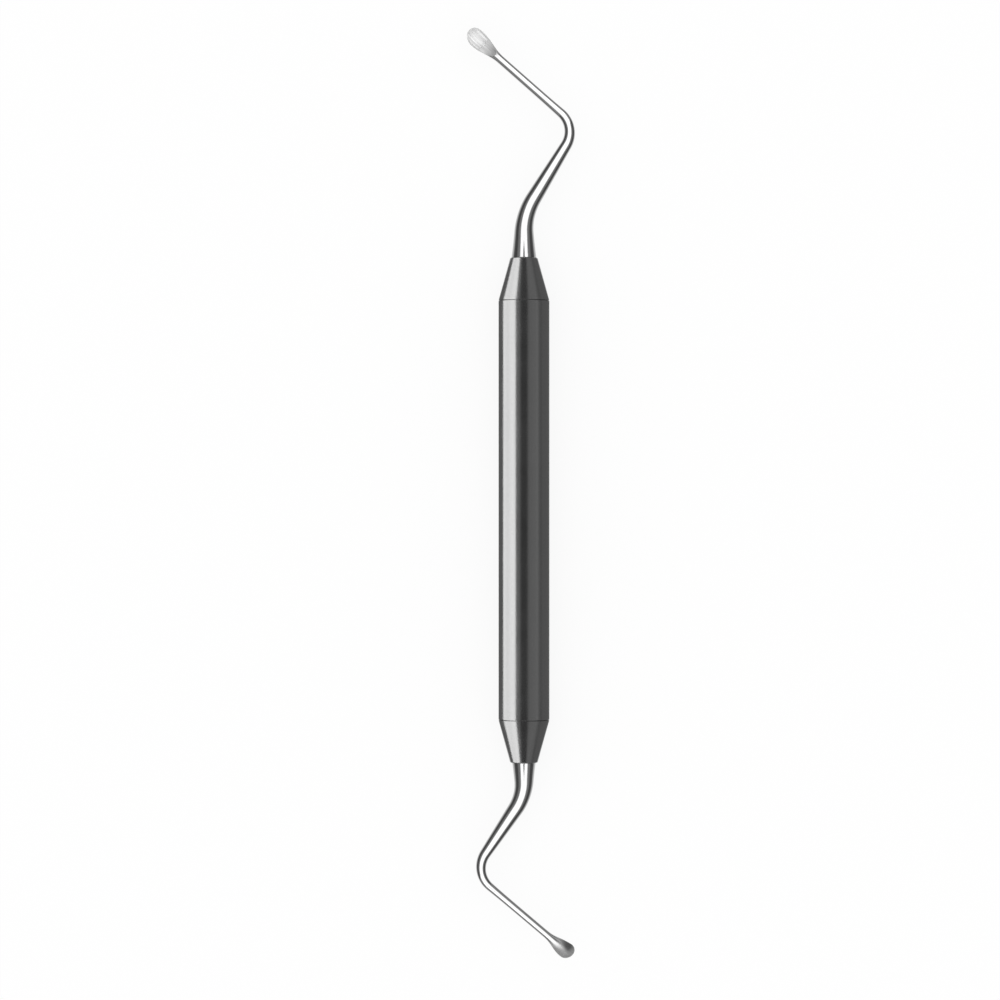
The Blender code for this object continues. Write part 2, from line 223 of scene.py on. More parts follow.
class CuretteBowlSizes(PropertyGroup):
    """Sizes that both bowls and both tangs share."""

    depth: length("Bowl depth", 0.00135, "From the ground face to the bowl's lowest place")
    face_height: length("Face height", 0.00022, "Height of the ground face over the leg's axis")
    face_stock: length("Face stock", 0.00005, "How far the face lies below the widest line")
    face_land: length("Face land", 0.0005, "Flat length between the cup and the wheel's arc")
    grind_radius: length("Wheel radius", 0.0050, "Radius of the hollow that the wheel leaves")
    cup_wall: length("Cup wall", 0.00032, "Metal left under the cup")
    cup_lift: length("Cup lift", 0.00003, "How far the cup's widest ring is over the face")
    rim_width: length("Rim width", 0.00016, "Width of the cup's rim")
    taper_ease: length("Taper ease", 0.0030, "How softly the taper runs into the slim shank")
    heel_squareness: level("Heel squareness", 3.0, "2 is an oval heel, more is squarer")
    tang_diameter: length("Tang diameter", 0.0032, "Diameter of the tang in the cone")
    tang_reach: length("Tang reach", 0.0056, "How far the tang goes past the cone's shoulder")
    tang_chamfer: length("Tang chamfer", 0.0003, "Bevel on the tang's foot")
    skin: length("Skin", 0.000015, "How far the smooth steel stays inside the frame's corners")


class CuretteFinish(PropertyGroup):
    """Colours and textures of the steel."""

    satin_colour: colour("Satin colour", (0.46, 0.46, 0.46), "Steel of the handle and cones")
    satin_roughness: share("Satin roughness", 0.16, "Roughness of the handle and cones")
    grain: share("Satin grain", 0.12, "Strength of the fine blasted grain")
    polish_colour: colour("Polish colour", (0.70, 0.70, 0.70), "Steel of the shanks")
    polish_roughness: share("Polish roughness", 0.08, "Roughness of the shanks")
    scratches: share("Scratches", 0.25, "Strength of the fine lengthwise polishing lines")
    back_roughness: share("Back roughness", 0.38, "Roughness of the bowls' backs")
    # Painted shade: the backs' colour is darkened to stand in for dark reflections
    back_shade: share("Back shade", 0.29, "Shade of the bowls' backs, as a share of the shanks'")
    back_matt: share("Back mattness", 0.85, "How much of the backs' light is scattered evenly")
    # Painted shade: a darker patch on one side of the backs, standing in for a dark reflection
    flank_shade: share("Flank shade", 0.28, "Shade of the backs' side patch, as a share of theirs")
    face_colour: colour("Face colour", (0.55, 0.55, 0.55), "Steel of the ground faces")
    cup_colour: colour("Cup colour", (0.80, 0.80, 0.80), "Steel of the brushed cups")
    ground_roughness: share("Ground roughness", 0.5, "Roughness of the cups and ground faces")
    ground_matt: share("Ground mattness", 0.85, "How much of their light is scattered evenly")
    # Painted shade: the ground face's colour is darkened where it rises to run out on the neck
    neck_shade: share("Neck shade", 0.48, "Shade of a ground face's far end, as a share")


class CuretteStage(PropertyGroup):
    """Table, lamps and camera."""

    table_colour: colour("Table colour", (0.97, 0.97, 0.97), "Colour of the table")
    shadow: share("Shadow", 0.14, "How much of the soft shadow shows on the table")
    overhead: level("Overhead lamps", 1.45, "Brightness of the lamps over the polished steel")
    side: level("Side lamps", 1.4, "Brightness of the lamps beside the satin steel")
    fill: level("Fill lamp", 0.07, "Brightness of the faint lamps beside and below it")
    near: level("Near table", 0.45, "Brightness of the strip of table under the handle")
    corner: level("Corner lamps", 0.75, "Brightness of the lamps that each bowl's leg faces")
    legs: level("Leg lamps", 0.22, "Brightness of the low lamps beside the bowls' legs")
    under: level("Under lamp", 0.50, "Brightness of the glow below the polished steel")
    view_width: length("View width", 0.1862, "Width of the table that the camera shows")
    lens: FloatProperty(name="Lens", description="Focal length in millimetres", default=150.0,
                        min=20.0, unit="CAMERA")


def ease(fraction):
    """A smooth step: half of one minus the cosine of pi times the fraction, held in 0 to 1."""
    return (1 - np.cos(np.pi * np.clip(fraction, 0.0, 1.0))) / 2


def grid_faces(rows, columns, first=0):
    """Four-sided faces of a grid of points that are numbered row by row."""
    corner = (np.arange(rows - 1)[:, None] * columns + np.arange(columns - 1)).ravel() + first
    return np.stack([corner, corner + 1, corner + columns + 1, corner + columns], axis=1)


def add_object(name, data):
    """A new object in the scene."""
    made = bpy.data.objects.new(name, data)
    bpy.context.scene.collection.objects.link(made)
    return made


def surface_object(name, points, faces, uv, finishes, materials, sharp):
    """A welded, closed mesh from grids of points, with its UV map.

    points and uv hold one row a point, faces one row of four point numbers a face, and
    finishes the number of each face's material.
    """
    mesh = bpy.data.meshes.new(name)
    mesh.from_pydata(points.tolist(), [], faces.tolist())
    layer = mesh.uv_layers.new(name="surface")
    layer.data.foreach_set("uv", (uv[faces.ravel()] * CENTIMETRES).astype(np.float32).ravel())
    for material in materials:
        mesh.materials.append(material)
    mesh.polygons.foreach_set("material_index", np.asarray(finishes, dtype=np.int32))
    bm = bmesh.new()
    bm.from_mesh(mesh)
    bmesh.ops.remove_doubles(bm, verts=bm.verts, dist=WELD_DISTANCE)
    bm.normal_update()
    bmesh.ops.recalc_face_normals(bm, faces=bm.faces)
    bm.to_mesh(mesh)
    bm.free()
    mesh.shade_smooth()
    mesh.set_sharp_from_angle(angle=math.radians(sharp))
    return add_object(name, mesh)


def rounded(corner, before, after, radius):
    """Points of a circle's arc that rounds a profile's corner between its two neighbours.

    The arc touches both sides. Its middle lies on the corner's bisector, the radius divided by
    the sine of half the corner's angle away.
    """
    corner, before, after = (np.asarray(point, dtype=float) for point in (corner, before, after))
    back = (before - corner) / np.linalg.norm(before - corner)
    ahead = (after - corner) / np.linalg.norm(after - corner)
    half = math.acos(np.clip(back @ ahead, -1.0, 1.0)) / 2
    middle = corner + (back + ahead) / np.linalg.norm(back + ahead) * radius / math.sin(half)
    start = corner + back * radius / math.tan(half) - middle
    stop = corner + ahead * radius / math.tan(half) - middle
    turned = math.pi - 2 * half
    share_done = np.linspace(0.0, 1.0, ARC_STEPS + 1)[:, None]
    arc = (np.sin((1 - share_done) * turned) * start + np.sin(share_done * turned) * stop)
    return middle + arc / math.sin(turned)


def profile(corners):
    """A profile through corners given as radius, place along the axis and rounding radius."""
    runs = []
    for index, (radius, place, rounding) in enumerate(corners):
        if rounding:
            before = corners[index - 1][:2]
            after = corners[(index + 1) % len(corners)][:2]
            runs.append(rounded((radius, place), before, after, rounding))
        else:
            runs.append(np.array([[radius, place]]))
    return np.concatenate(runs)


def turned_object(name, corners, closed, material):
    """A profile turned round the handle's axis.

    A point of the profile at radius r and place p goes to r sin a, p, r cos a above the axis,
    with the angle a running once round.
    """
    line = profile(corners)
    if closed:
        line = np.concatenate([line, line[:1]])
    angle = np.linspace(0.0, 2 * np.pi, TURNED_SIDES + 1)
    radius, place = line[:, :1], line[:, 1:]
    points = np.stack([radius * np.sin(angle), place + 0 * angle,
                       AXIS_HEIGHT + radius * np.cos(angle)], axis=-1)
    run = np.concatenate([[0.0], np.cumsum(np.linalg.norm(np.diff(line, axis=0), axis=1))])
    uv = np.stack([HANDLE_RADIUS * angle + 0 * run[:, None], run[:, None] + 0 * angle], axis=-1)
    faces = grid_faces(len(line), TURNED_SIDES + 1)
    return surface_object(name, points.reshape(-1, 3), faces, uv.reshape(-1, 2),
                          np.zeros(len(faces)), [material], TURNED_SHARP)


def tube_corners(sizes):
    """The tube's section: up the outer wall and back down the bore."""
    bore = HANDLE_RADIUS - sizes.wall
    edge = sizes.edge_round
    return [(HANDLE_RADIUS, -TUBE_END, edge), (HANDLE_RADIUS, TUBE_END, edge),
            (bore, TUBE_END, 0.0), (bore, -TUBE_END, 0.0)]


def cone_corners(sizes, outward):
    """A plug's section: its blind bore, nose, cone, shoulder and spigot."""
    bore = sizes.bore / 2
    seat = TUBE_END + sizes.fit
    spigot = HANDLE_RADIUS - sizes.wall - sizes.fit
    corners = [(0.0, seat - sizes.bore_depth, 0.0), (bore, seat - sizes.bore_depth, 0.0),
               (bore, NOSE_PLACE, 0.0), (sizes.nose_diameter / 2, NOSE_PLACE, sizes.nose_round),
               (HANDLE_RADIUS, seat, sizes.edge_round), (spigot, seat, 0.0),
               (spigot, SPIGOT_END, 0.0), (0.0, SPIGOT_END, 0.0)]
    return [(radius, outward * place, rounding) for radius, place, rounding in corners]


def centreline(end):
    """Straight and curved stretches of the bent shank, each a length and the angle it turns."""
    root_tangent = end.root_bend_radius * math.tan(end.root_bend / 2)
    elbow_tangent = end.elbow_radius * math.tan(end.elbow_bend / 2)
    return [(end.root_length - root_tangent, 0.0),
            (end.root_bend_radius * end.root_bend, -end.root_bend),
            (end.leg_length - root_tangent - elbow_tangent, 0.0),
            (end.elbow_radius * end.elbow_bend, end.elbow_bend),
            (end.reach - elbow_tangent, 0.0)]


def walk(stretches, distance):
    """Places and headings at distances along the centreline.

    A straight stretch adds its length along the heading. A bend of radius r that turns from
    heading h by t adds r (sin(h + t) - sin h) and r (cos h - cos(h + t)).
    """
    x, y = np.zeros_like(distance), np.zeros_like(distance)
    heading = np.full_like(distance, np.pi / 2)
    left = distance.copy()
    for index, (stretch, bend) in enumerate(stretches):
        step = left if index == len(stretches) - 1 else np.minimum(left, stretch)
        if index:
            step = np.maximum(step, 0.0)
        if bend:
            radius = stretch / bend
            after = heading + step / radius
            x = x + radius * (np.sin(after) - np.sin(heading))
            y = y + radius * (np.cos(heading) - np.cos(after))
            heading = after
        else:
            x = x + step * np.cos(heading)
            y = y + step * np.sin(heading)
        left = left - step
    return x, y, heading


class BowlAndShank:
    """The formulas of one working end, in distances back from its tip."""

    def __init__(self, end, bowl, handle, outward):
        self.end = end
        self.bowl = bowl
        self.outward = outward
        self.stretches = centreline(end)
        self.total = sum(stretch for stretch, _ in self.stretches)
        self.root = self.total - handle.fit
        self.tang_foot = self.total + NOSE_PLACE - TUBE_END - 2 * handle.fit + bowl.tang_reach
        self.flat_end = end.bowl_front + end.cup_heel + bowl.face_land
        self.belly = bowl.depth + bowl.face_stock - bowl.skin
        self.trim = math.sqrt(1 - (bowl.face_stock / self.belly) ** 2)
        self.run_out = self.face_run_out()

    def section(self, back):
        """Half width, heights above and below, and middle height of the oval section.

        The shank's diameter tapers evenly and eases into the slim shank along half of a
        hyperbola, with a flare that runs out from the root as a square. The round shank swells
        into the bowl with a smooth step, and the front closes as a quarter of an ellipsoid.
        """
        end, bowl = self.end, self.bowl
        distance = self.total - back
        left = end.taper_length - distance
        eased = (left + np.hypot(left, bowl.taper_ease)) / 2
        slope = (end.taper_diameter - end.shank_diameter) / end.taper_length
        flare = np.maximum(0.0, 1.0 - distance / end.flare_length) ** 2
        radius = (end.shank_diameter + slope * eased
                  + (end.root_diameter - end.taper_diameter) * flare) / 2 - bowl.skin
        swell = ease(1.0 - (back - end.bowl_front) / end.neck_length)
        fullness = 1.0 - np.maximum(0.0, 1.0 - back / end.bowl_front) ** 2
        close = np.sqrt(np.maximum(0.0, fullness))
        half_width = (radius + (end.bowl_width / 2 - bowl.skin - radius) * swell) * close
        below = (radius + (self.belly - radius) * swell) * close
        middle = (bowl.face_height + bowl.face_stock) * swell
        return half_width, radius * close, below, middle

    def face(self, back):
        """Height of the ground face: level, then up along the wheel's circle."""
        climb = np.clip(back - self.flat_end, 0.0, self.bowl.grind_radius)
        radius = self.bowl.grind_radius
        return self.bowl.face_height + radius - np.sqrt(radius ** 2 - climb ** 2)

    def edge_angle(self, back):
        """Angle on the oval section at which the ground face cuts it."""
        _, above, below, middle = self.section(back)
        gap = self.face(back) - middle
        reach = np.maximum(np.where(gap > 0.0, above, below), SMALLEST_REACH)
        return np.arcsin(np.clip(gap / reach, -1.0, 1.0))

    def face_run_out(self):
        """Distance back at which the wheel's circle leaves the top of the shank."""
        stop = self.flat_end + self.bowl.grind_radius
        back = np.linspace(self.flat_end, stop, RUN_OUT_SAMPLES)
        _, above, _, middle = self.section(back)
        return float(np.interp(0.0, self.face(back) - middle - above, back))

    def outline(self, angle):
        """Right edge of the flat face at an angle round the bowl: pi at the tip, 0 at the heel.

        In front of the widest place it is an ellipse. Behind it, down to a quarter of pi, it is
        the edge of the section, and below that it crosses the neck in a straight line.
        """
        front, heel = self.end.bowl_front, self.flat_end - self.end.bowl_front
        side = np.clip(np.abs(angle), np.pi / 4, np.pi)
        reach = np.where(side > np.pi / 2, front * self.trim, heel / math.cos(math.pi / 4))
        back = front + reach * np.cos(side)
        half_width = self.section(back)[0] * np.cos(self.edge_angle(back))
        return back, half_width * np.clip(angle / (np.pi / 4), -1.0, 1.0)

    def rim(self, angle):
        """The cup's rim at an angle: an ellipse in front and a squarer oval at the heel."""
        along, across = np.cos(angle), np.sin(angle)
        power = np.where(along > 0.0, self.bowl.heel_squareness, 2.0)
        spread = (np.abs(along) ** power + np.abs(across) ** power) ** (-1.0 / power)
        depth = self.bowl.depth - self.bowl.cup_wall + self.bowl.cup_lift
        cut = math.sqrt(1 - (self.bowl.cup_lift / depth) ** 2)
        reach = np.where(along > 0.0, self.end.cup_heel, self.end.bowl_front - self.bowl.rim_width)
        half_width = self.end.bowl_width / 2 - self.bowl.rim_width
        return (self.end.bowl_front + along * spread * reach * cut,
                across * spread * half_width * cut)

    def place(self, back, across, height):
        """Points of the scene for places back from the tip, across the leg and above its axis.

        The bowl's middle line leans aside by the sweep times the square of how far a place is
        forward of the cup's heel.
        """
        x, y, heading = walk(self.stretches, self.total - back - self.bowl.skin)
        bowl_length = self.end.bowl_front + self.end.cup_heel
        forward = np.maximum(0.0, 1.0 - back / bowl_length) ** 2
        across = across + self.end.tip_sweep * forward
        x = x - np.sin(heading) * across
        y = y + np.cos(heading) * across
        return np.stack([self.outward * x, self.outward * (NOSE_PLACE + y),
                         AXIS_HEIGHT + self.outward * height], axis=-1)


def station_rows(shape):
    """Distances back from the tip of all cross-sections, and how many lie on the bowl's sides.

    The bowl's are spaced evenly in angle, the neck's crowd towards the end of the ground face,
    and the shank's are evenly spaced.
    """
    angle = np.linspace(np.pi, np.pi / 4, 3 * FACE_CELLS + 1)
    bowl = shape.outline(angle)[0]
    fraction = np.linspace(0.0, 1.0, NECK_ROWS + 1)[1:]
    neck = shape.flat_end + (shape.run_out - shape.flat_end) * np.sin(fraction * np.pi / 2)
    count = int((shape.root - shape.run_out) / SHANK_STEP)
    fraction = np.linspace(0.0, 1.0, count + 1)[1:]
    shank = shape.run_out + (shape.root - shape.run_out) * fraction
    return np.concatenate([bowl, neck, shank]), len(bowl)


def with_tang(shape, back, sections):
    """The sections with the tang's round ones added: shoulder, straight, bevel and foot."""
    tang = shape.bowl.tang_diameter / 2
    bevel = shape.bowl.tang_chamfer
    places = [shape.root, shape.tang_foot - bevel, shape.tang_foot, shape.tang_foot]
    radii = [tang, tang, tang - bevel, 0.0]
    added = (places, radii, radii, radii, np.zeros(len(places)))
    return [np.concatenate(pair) for pair in zip((back, *sections), added)]


def side_grid(shape, rows, edge, sign):
    """One side of the working end, from the face's edge down to the lowest line.

    A point at angle a of a section lies at half width times cos a across and at the section's
    height times sin a over its middle.
    """
    back, half_width, above, below, middle = (column[:, None] for column in rows)
    fraction = np.linspace(0.0, 1.0, SIDE_COLUMNS + 1)
    angle = edge[:, None] + (-np.pi / 2 - edge[:, None]) * fraction
    across = sign * half_width * np.cos(angle)
    height = middle + np.where(angle > 0.0, above, below) * np.sin(angle)
    back = back + 0 * angle
    uv = np.stack([sign * (np.pi / 2 + angle) * half_width, back], axis=-1)
    return shape.place(back, across, height), uv


def top_grid(shape, rows, edge, face):
    """The neck's ground face between its two edges, then the top of the round shank.

    Up to the run-out a point lies level across the face. Behind it the point's angle runs
    evenly from one side's edge angle over the top to the other's.
    """
    back, half_width, above, _, middle = (column[:, None] for column in rows)
    fraction = np.linspace(-1.0, 1.0, 2 * FACE_CELLS + 1)
    angle = np.pi / 2 - fraction * (np.pi / 2 - edge[:, None])
    ground = back < shape.run_out
    across = half_width * np.where(ground, np.cos(edge[:, None]) * fraction, np.cos(angle))
    height = np.where(ground, face[:, None], middle + above * np.sin(angle))
    arc = np.where(ground, across, (np.pi / 2 - angle) * half_width)
    back = back + 0 * angle
    uv = np.stack([arc, back], axis=-1)
    return shape.place(back, across, height), uv


def cup_grid(shape):
    """The cup and the flat face round it, as square rings that are spread onto the bowl.

    On the square grid a ring's number is the larger of the two coordinates and its angle is a
    quarter of pi times their ratio. Inside the rim the ring's share of a quarter turn gives a
    spheroid's hollow. Outside it the points run straight from the rim to the face's outline.
    """
    line = np.arange(-FACE_CELLS, FACE_CELLS + 1)
    along, across = np.meshgrid(line, line, indexing="ij")
    ring = np.maximum(np.abs(along), np.abs(across))
    safe = np.maximum(ring, 1)
    lengthwise = np.abs(along) >= np.abs(across)
    angle = np.where(lengthwise, across / safe * np.pi / 4, np.pi / 2 - along / safe * np.pi / 4)
    angle = np.where(lengthwise & (along < 0), np.pi - angle, angle)
    angle = np.where(~lengthwise & (across < 0), -np.pi / 2 + along / safe * np.pi / 4, angle)
    angle = np.where(angle > np.pi, angle - 2 * np.pi, angle)
    bowl, front = shape.bowl, shape.end.bowl_front
    rim_back, rim_across = shape.rim(angle)
    edge_back, edge_across = shape.outline(angle)
    depth = bowl.depth - bowl.cup_wall + bowl.cup_lift
    steepest = math.acos(bowl.cup_lift / depth)
    dip = np.minimum(ring / CUP_CELLS, 1.0) * steepest
    inward = np.sin(dip) / math.sin(steepest)
    outward = np.clip((ring - CUP_CELLS) / (FACE_CELLS - CUP_CELLS), 0.0, 1.0)
    back = front + (rim_back - front) * inward
    back = back + (edge_back - rim_back) * outward
    side = rim_across * inward + (edge_across - rim_across) * outward
    height = np.where(ring < CUP_CELLS, bowl.face_height + bowl.cup_lift - depth * np.cos(dip),
                      bowl.face_height)
    uv = np.stack([side, back], axis=-1)
    cell_ring = np.maximum(np.abs(line[:-1, None] + 0.5), np.abs(line[None, :-1] + 0.5))
    finishes = np.where(cell_ring < CUP_CELLS, CUP_FINISH, FACE_FINISH)
    return shape.place(back, side, height), uv, finishes.ravel()


def working_end_object(name, shape, materials):
    """One working end, welded from its two sides, its top and its cup."""
    back, bowl_rows = station_rows(shape)
    rows = with_tang(shape, back, shape.section(back))
    opened = ease((rows[0] - shape.run_out) / OPENING_LENGTH)
    even_edge = np.pi / 2 * FACE_CELLS / (FACE_CELLS + SIDE_COLUMNS)
    edge = np.where(rows[0] < shape.run_out, shape.edge_angle(rows[0]),
                    np.pi / 2 - (np.pi / 2 - even_edge) * opened)
    face = shape.face(rows[0])
    top_rows = [column[bowl_rows - 1:] for column in rows]
    grids = [side_grid(shape, rows, edge, 1.0), side_grid(shape, rows, edge, -1.0),
             top_grid(shape, top_rows, edge[bowl_rows - 1:], face[bowl_rows - 1:])]
    cup_points, cup_uv, cup_finishes = cup_grid(shape)
    grids.append((cup_points, cup_uv))
    points, uvs, faces, finishes = [], [], [], []
    first = 0
    for grid, uv in grids:
        cells = grid_faces(grid.shape[0], grid.shape[1], first)
        points.append(grid.reshape(-1, 3))
        uvs.append(uv.reshape(-1, 2))
        faces.append(cells)
        finishes.append(np.full(len(cells), SHANK_FINISH))
        first += grid.shape[0] * grid.shape[1]
    finishes[2][:NECK_ROWS * 2 * FACE_CELLS] = FACE_FINISH
    finishes[3] = cup_finishes
    return surface_object(name, np.concatenate(points), np.concatenate(faces),
                          np.concatenate(uvs), np.concatenate(finishes), materials,
                          BENT_SHARP)


def set_inputs(tree, made, inputs):
    """Set a node's inputs, each to a constant or to the socket that feeds it."""
    for name, value in inputs.items():
        if isinstance(value, bpy.types.NodeSocket):
            tree.links.new(value, made.inputs[name])
        else:
            made.inputs[name].default_value = value


def node(tree, kind, inputs, **settings):
    """A node with its settings and its inputs."""
    made = tree.nodes.new(kind)
    for name, value in settings.items():
        setattr(made, name, value)
    set_inputs(tree, made, inputs)
    return made


def lay_out(tree):
    """Place a tree's nodes in columns, each of them left of all that it feeds."""
    columns = {}
    waiting = [(made, 0) for made in tree.nodes
               if not any(socket.is_linked for socket in made.outputs)]
    while waiting:
        made, column = waiting.pop()
        columns[made.name] = max(column, columns.get(made.name, 0))
        waiting += [(link.from_node, column + 1) for socket in made.inputs for link in socket.links]
    filled = [0] * (max(columns.values()) + 1)
    for made in tree.nodes:
        column = columns[made.name]
        made.location = (-COLUMN_WIDTH * column, -ROW_HEIGHT * filled[column])
        filled[column] += 1


def number_node(tree, operation, *values):
    """A Math node's result on numbers or sockets."""
    return node(tree, "ShaderNodeMath", dict(enumerate(values)), operation=operation).outputs[0]


def ranged(tree, value, low, high, start=0.0, stop=1.0, interpolation="LINEAR"):
    """A value between start and stop carried to between low and high, and held there."""
    limits = {"From Min": start, "From Max": stop, "To Min": low, "To Max": high}
    made = node(tree, "ShaderNodeMapRange", {"Value": value, **limits},
                interpolation_type=interpolation)
    return made.outputs["Result"]


def noise_mask(tree, low, high, **inputs):
    """Noise whose middle values, from low to high, are spread from 0 to 1."""
    noise = node(tree, "ShaderNodeTexNoise", inputs)
    return ranged(tree, noise.outputs["Fac"], 0.0, 1.0, low, high)


def new_group(name, numbers, outputs):
    """An empty node group with a vector and some numbers to read, and numbers to put out."""
    group = bpy.data.node_groups.new(name, "ShaderNodeTree")
    group.interface.new_socket("Vector", in_out="INPUT", socket_type="NodeSocketVector")
    for label, value in numbers.items():
        socket = group.interface.new_socket(label, in_out="INPUT", socket_type="NodeSocketFloat")
        socket.default_value = value
    for label in outputs:
        group.interface.new_socket(label, in_out="OUTPUT", socket_type="NodeSocketFloat")
    return group, node(group, "NodeGroupInput", {}).outputs


def polishing_lines():
    """Fine lines along the steel: noise drawn out lengthwise, at two widths."""
    group, given = new_group("polishing_lines", {"Across": 60.0, "Along": 1.0}, ("Fine", "Broad"))
    parts = node(group, "ShaderNodeSeparateXYZ", {0: given["Vector"]})
    across = number_node(group, "MULTIPLY", parts.outputs[0], given["Across"])
    along = number_node(group, "MULTIPLY", parts.outputs[1], given["Along"])
    masks = {}
    for label, scale, detail, depth in (("Fine", 1.0, 3.0, 450.0), ("Broad", 0.22, 2.0, -450.0)):
        where = node(group, "ShaderNodeCombineXYZ", {0: across, 1: along, 2: depth})
        masks[label] = noise_mask(group, low=0.3, high=0.7, Vector=where.outputs[0], Scale=scale,
                                  Detail=detail, Roughness=0.6)
    node(group, "NodeGroupOutput", masks)
    return group


def blasted_grain():
    """Fine even grain: two sizes of noise, one as a bump's height and one as a tint."""
    group, given = new_group("blasted_grain", {"Scale": 9000.0}, ("Height", "Tint"))
    masks = {}
    for label, size in (("Height", 1.0), ("Tint", 0.7)):
        scale = number_node(group, "MULTIPLY", given["Scale"], size)
        masks[label] = noise_mask(group, low=0.3, high=0.7, Vector=given["Vector"], Scale=scale,
                                  Detail=2.0, Roughness=0.7)
    node(group, "NodeGroupOutput", masks)
    return group


def handling_haze():
    """Soft uneven patches, as hands and cloths leave on steel."""
    group, given = new_group("handling_haze", {"Scale": 120.0}, ("Haze",))
    haze = noise_mask(group, low=0.35, high=0.7, Vector=given["Vector"],
                      Scale=given["Scale"], Detail=3.0, Distortion=0.4)
    node(group, "NodeGroupOutput", {"Haze": haze})
    return group


def place_group(tree, maker, **inputs):
    """A shared effect in a material, with its own values, built the first time that it is used."""
    group = bpy.data.node_groups.get(maker.__name__)
    if group is None:
        group = maker()
        lay_out(group)
    return node(tree, "ShaderNodeGroup", inputs, node_tree=group)


def bare_steel(name, tint):
    """A material of bare metal, with its tree and its shader."""
    material = bpy.data.materials.new(name)
    material.use_nodes = True
    tree = material.node_tree
    shader = tree.nodes["Principled BSDF"]
    set_inputs(tree, shader, {"Metallic": 1.0, "Base Color": (*tint, 1.0)})
    material.diffuse_color = (*tint, 1.0)
    return material, tree, shader


def mixed(tree, factor, first, second, blend="MIX"):
    """Two colours mixed by a factor."""
    made = node(tree, "ShaderNodeMix", {MIX_FACTOR: factor, MIX_FIRST: first, MIX_SECOND: second},
                data_type="RGBA", blend_type=blend)
    return made.outputs[MIX_RESULT]


def tinted(tree, mask, tint, darkest):
    """A colour that goes down to a share of itself where a mask is 0."""
    dark = [channel * darkest for channel in tint]
    return mixed(tree, mask, (*dark, 1.0), (*tint, 1.0))


def bump(tree, height, strength, distance):
    """A bump from a height."""
    made = node(tree, "ShaderNodeBump",
                {"Strength": strength, "Distance": distance, "Height": height})
    return made.outputs["Normal"]


def blasted_satin(finish):
    """Blasted satin steel: a fine speckle in height and shade, and faint haze in roughness."""
    tint = tuple(finish.satin_colour)
    material, tree, shader = bare_steel("blasted_satin", tint)
    where = node(tree, "ShaderNodeTexCoord", {}).outputs["Object"]
    grain = place_group(tree, blasted_grain, Vector=where, Scale=5200.0).outputs
    haze = place_group(tree, handling_haze, Vector=where, Scale=110.0).outputs["Haze"]
    rough = finish.satin_roughness
    set_inputs(tree, shader, {
        "Base Color": tinted(tree, grain["Tint"], tint, darkest=1 - finish.grain * 0.7),
        "Roughness": ranged(tree, haze, rough, rough + HAZE_ROUGHENING),
        "Normal": bump(tree, grain["Height"], finish.grain, distance=0.00002)})
    return material


def lined_steel(name, tint, roughness, spread, across, along, lines, depth):
    """Steel with lengthwise lines in its roughness, shade and height.

    Across and along are how many lines come to a centimetre each way. Lines and depth are how
    strongly they show in shade and height, and the spread is what they add to the roughness.
    """
    material, tree, shader = bare_steel(name, tint)
    surface = node(tree, "ShaderNodeUVMap", {}, uv_map="surface").outputs[0]
    where = node(tree, "ShaderNodeTexCoord", {}).outputs["Object"]
    marks = place_group(tree, polishing_lines, Vector=surface, Across=across, Along=along).outputs
    haze = place_group(tree, handling_haze, Vector=where, Scale=160.0).outputs["Haze"]
    worn = number_node(tree, "MULTIPLY", marks["Fine"], haze)
    set_inputs(tree, shader, {
        "Base Color": tinted(tree, marks["Broad"], tint, darkest=1 - lines),
        "Roughness": ranged(tree, worn, roughness, roughness + spread),
        "Normal": bump(tree, marks["Fine"], depth, distance=0.000004)})
    return material, tree, shader


def faded(tree, start, stop, slant=0.0, point=0.0):
    """A mask from 0 at one distance back from the tip to 1 at another, in centimetres.

    The place across times the slant is added to the distance, so that the mask's edge runs
    askew. Its size times the point is taken from it, so that the edge runs to a point.
    """
    surface = node(tree, "ShaderNodeUVMap", {}, uv_map="surface").outputs[0]
    parts = node(tree, "ShaderNodeSeparateXYZ", {0: surface})
    across, back = parts.outputs[0], parts.outputs[1]
    askew = number_node(tree, "MULTIPLY_ADD", across, slant, back)
    size = number_node(tree, "ABSOLUTE", across)
    pointed = number_node(tree, "MULTIPLY_ADD", size, -point, askew)
    return ranged(tree, pointed, 0.0, 1.0, start, stop, "SMOOTHSTEP")


def dim(tree, shader, mask, darkest):
    """Paint shade into a shader's base colour: take it down to a share of itself where a mask is 1.
    """
    shade = ranged(tree, mask, 1.0, darkest)
    colour_before = shader.inputs["Base Color"].links[0].from_socket
    set_inputs(tree, shader, {"Base Color": mixed(tree, 1.0, colour_before, shade, "MULTIPLY")})


